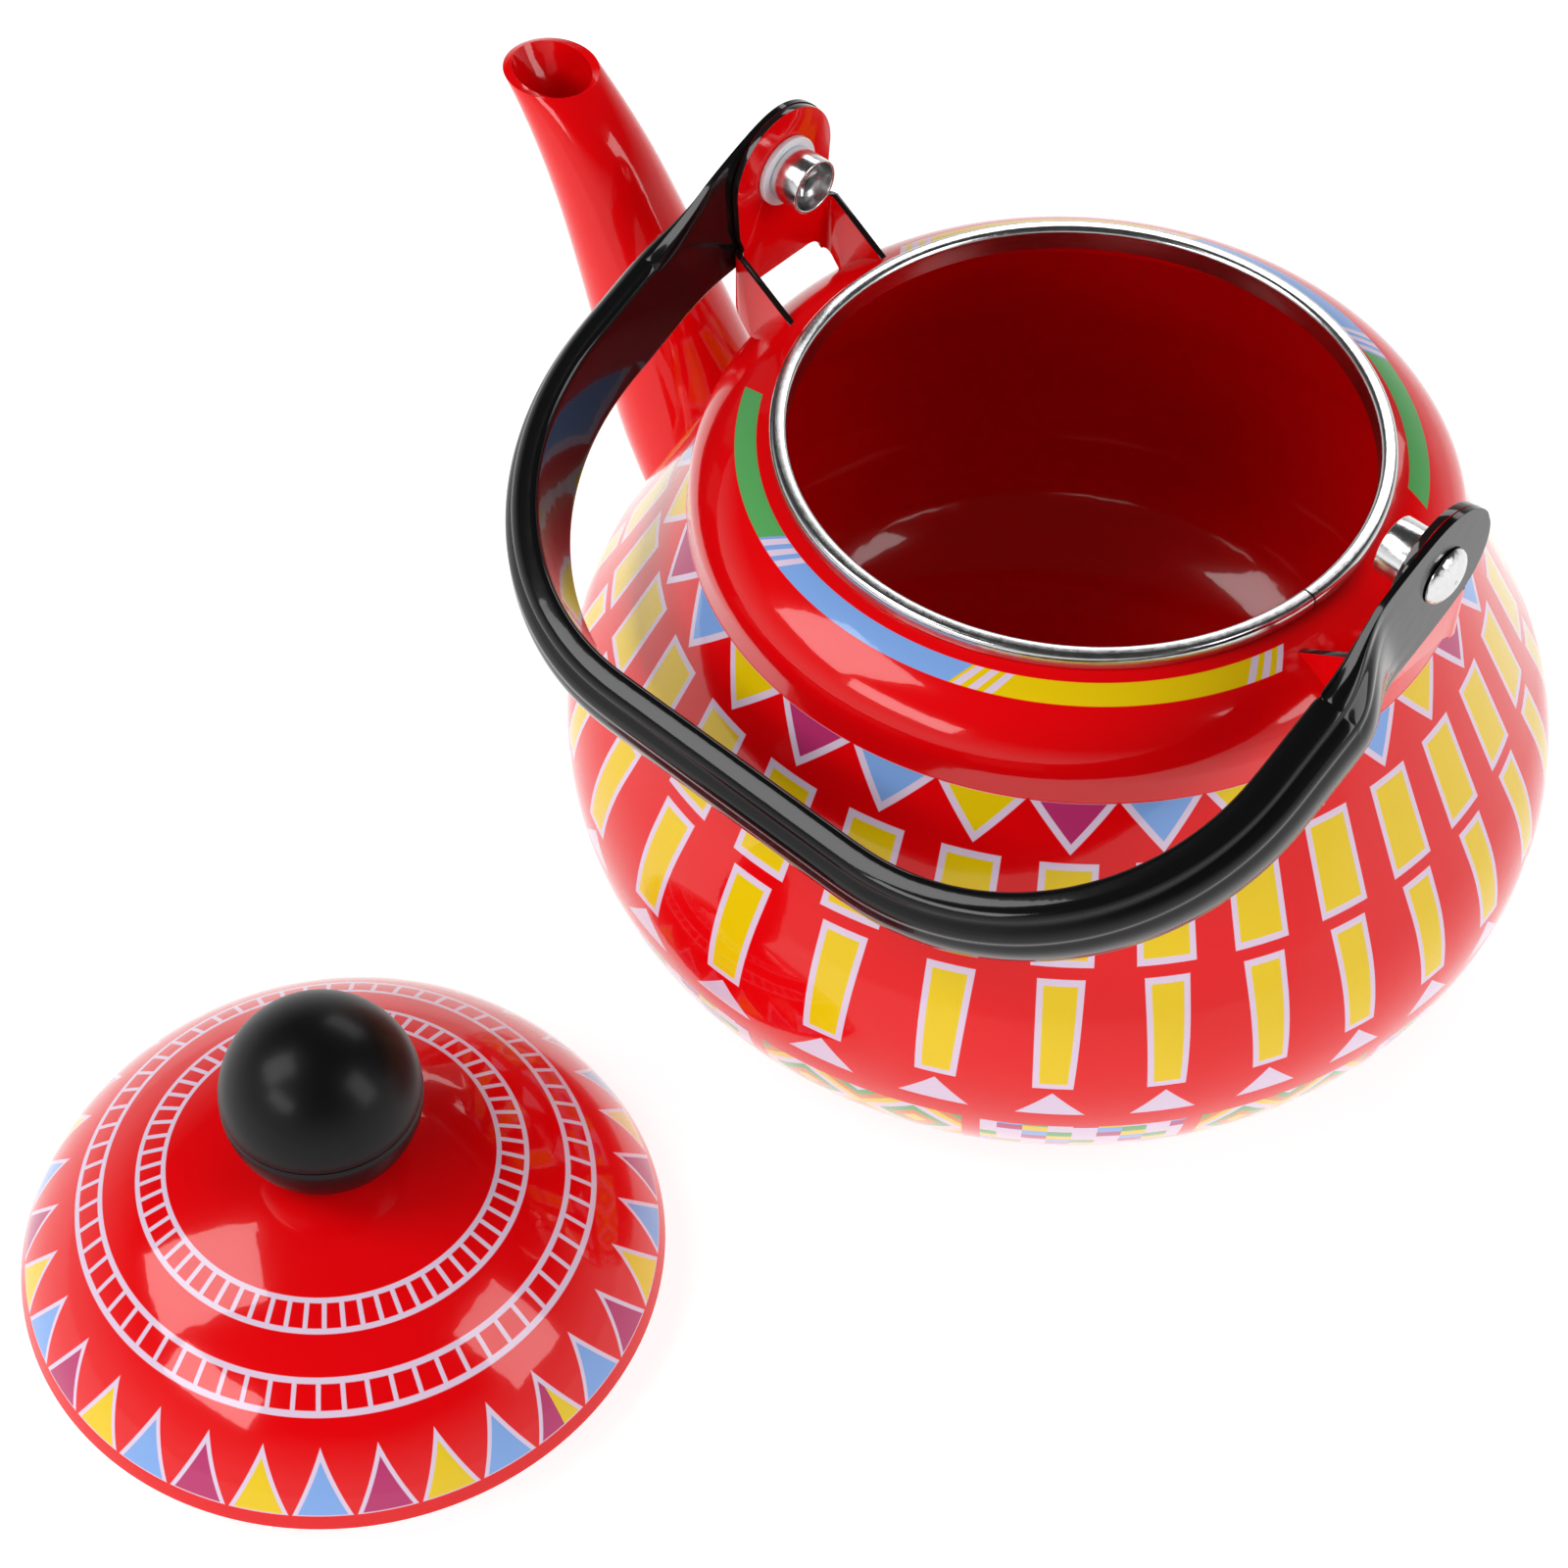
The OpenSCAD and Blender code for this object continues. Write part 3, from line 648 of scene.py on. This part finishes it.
bpy.ops.mesh.normals_make_consistent(inside=False)
bpy.ops.object.mode_set(mode="OBJECT")
twin = bail.modifiers.new("twin", "MIRROR")
twin.use_axis[0] = True
twin.merge_threshold = 1e-5
round_off = bail.modifiers.new("round", "SUBSURF")
round_off.levels = round_off.render_levels = 2
bpy.context.view_layer.objects.active = bail
for step in ("twin", "round"):
    bpy.ops.object.modifier_apply(modifier=step)
bail.rotation_euler = (-FOLD, 0, 0)
bail.location = (0, 0, PIVOT_Z * MM)
bpy.ops.object.select_all(action="DESELECT")
bail.select_set(True)
bpy.ops.object.transform_apply(location=True, rotation=True, scale=True)
bpy.ops.object.shade_smooth()
black_enamel = enamel("black_enamel", (0.0045, 0.0045, 0.005, 1))[0]
black_coat = black_enamel.node_tree.nodes["Principled BSDF"]
black_coat.inputs["Coat Weight"].default_value = 0.6
dress(bail, black_enamel, "bail", "black_enamel", "bail_handle")

# ---------------------------------------------------------------- lid
# Domed lid pressed from one sheet with a ring welded under its edge that drops into the mouth; red
# enamel printed with flags round the edge and two ladder bands.
LID = (31.6, 191.9)
lid_material, l, (_, _, lz, lr, lturn) = enamel("printed_enamel_lid", centre=LID)
flags = l("DIVIDE", l("SUBTRACT", lturn, 10.6), 11.25)
flag_no = l("ROUND", flags)
flag_aside = l("ABSOLUTE", l("SUBTRACT", flags, flag_no))
flag_hue_no = l("FLOORED_MODULO", flag_no, 3.0)
# Thirty-two flags stand point up on the lid's edge; a flag narrows evenly from its foot to its tip.
FLAG_FOOT, FLAG_TIP = 11.6, 24.0
flag_rise = l("DIVIDE", l("SUBTRACT", lz, FLAG_FOOT), FLAG_TIP - FLAG_FOOT)
flag_half = l("MULTIPLY", l("SUBTRACT", 1.0, flag_rise), 0.47)
flag_depth = l.product(l("SUBTRACT", flag_half, flag_aside), l("MULTIPLY", lr, 0.196), 0.93)
flag_in = l.least(flag_depth, l.between(lz, FLAG_FOOT, FLAG_TIP))
lid_hue = l.paint(l.paint(MAGENTA, YELLOW, l.is_near(flag_hue_no, 1.0)), BLUE, l.is_near(flag_hue_no, 2.0))
lid_colour = l.paint(RED, WHITE, l.inked(flag_in))
flag_fill = l.least(l("SUBTRACT", flag_depth, 0.9), l.between(lz, FLAG_FOOT + 0.2, FLAG_TIP))
lid_colour = l.paint(lid_colour, lid_hue, l.inked(flag_fill))
RUNG_TURN = 5.625
for inner, outer, shift, line in ((34.07, 40.46, 0.6, 1.0), (47.96, 54.06, -0.9, 1.05)):
    band = l.between(lr, inner - 0.1, outer + 0.1)
    along = l("FRACT", l("DIVIDE", l("SUBTRACT", lturn, shift + RUNG_TURN / 2), RUNG_TURN))
    rung = l("SUBTRACT", 0.5, l("ABSOLUTE", l("SUBTRACT", along, 0.5)))
    rung_mm = l("SUBTRACT", 0.48, l("MULTIPLY", l("SUBTRACT", 0.5, rung), l("MULTIPLY", lr, 0.0982)))
    rails = l("SUBTRACT", line, band)
    ladder = l.least(band, l("MAXIMUM", rung_mm, rails))
    lid_colour = l.paint(lid_colour, WHITE, l.inked(ladder))
finish_colour(lid_material, lid_colour)


def lid_curve(depth, n):
    a, c = 71 - depth, 53 - depth
    return bow(0, -6.06, a, c, 16.1, math.degrees(math.acos(13.5 / a)), n)


lid_outline = [(0, lid_curve(0, 8)[-1][1]), (0, lid_curve(1.3, 8)[-1][1])]
lid_outline += lid_curve(1.3, 40)[::-1] + [(67.35, 8.12), (67.9, 8.2)] + lid_curve(0, 40)
lid = turned("lid_dome", lid_outline[:-1] + [(13.2, lid_curve(0, 8)[-1][1] + 0.02)], at=LID)
dress(lid, lid_material, "lid", "red_enamel", "lid_shell")
plain_inside(lid, plain_red, (LID[0], LID[1], -30))
skirt = turned("lid_skirt_ring", [(67.3, 8.2), (67.3, 7.2), (61.8, 7.2), (60.9, 6.8), (60.6, 6.0), (60.6, 0.5),
                                  (60.3, 0.0), (59.8, 0.0), (59.5, 0.5), (59.5, 8.2)], at=LID)
dress(skirt, plain_red, "lid", "red_enamel", "lid_skirt")

# ---------------------------------------------------------------- knob
# Ball knob moulded in glossy black resin in two halves, the lower one drawn in to a foot on the lid,
# held by a screw with a washer from below.
SEAT = lid_curve(0, 8)[-1][1]
BALL = SEAT + 17.5
resin = enamel("black_resin", (0.003, 0.003, 0.0035, 1))[0]
gloss = resin.node_tree.nodes["Principled BSDF"]
gloss.inputs["Roughness"].default_value = 0.42
gloss.inputs["Coat Weight"].default_value = 0.2
gloss.inputs["Coat Roughness"].default_value = 0.22
knob_top = turned("knob_ball", [(0, BALL + 0.45), (19.9, BALL + 0.45), (20.45, BALL + 0.8)]
                  + bow(0, BALL, 20.6, 20.6, 5, 90, 36), steps=96, at=LID)
dress(knob_top, resin, "lid", "knob_plastic", "knob_dome")
knob_foot = turned("knob_foot", [(0, SEAT + 0.05), (12.3, SEAT + 0.05), (12.7, SEAT + 0.4), (13.2, SEAT + 1.4)]
                   + bow(0, BALL, 20.6, 20.6, -46, -2, 24) + [(20.3, BALL + 0.25), (0, BALL + 0.25)],
                   steps=96, at=LID)
dress(knob_foot, resin, "lid", "knob_plastic", "knob_cup")
zinc = steel("zinc_plate", 0.55, 0.3, scale=700)
for node in ("knob_screw", "knob_washer"):
    small = softened(node, node + "_plated", 0.2)
    dress(small, zinc, "lid", "screw_steel", node)
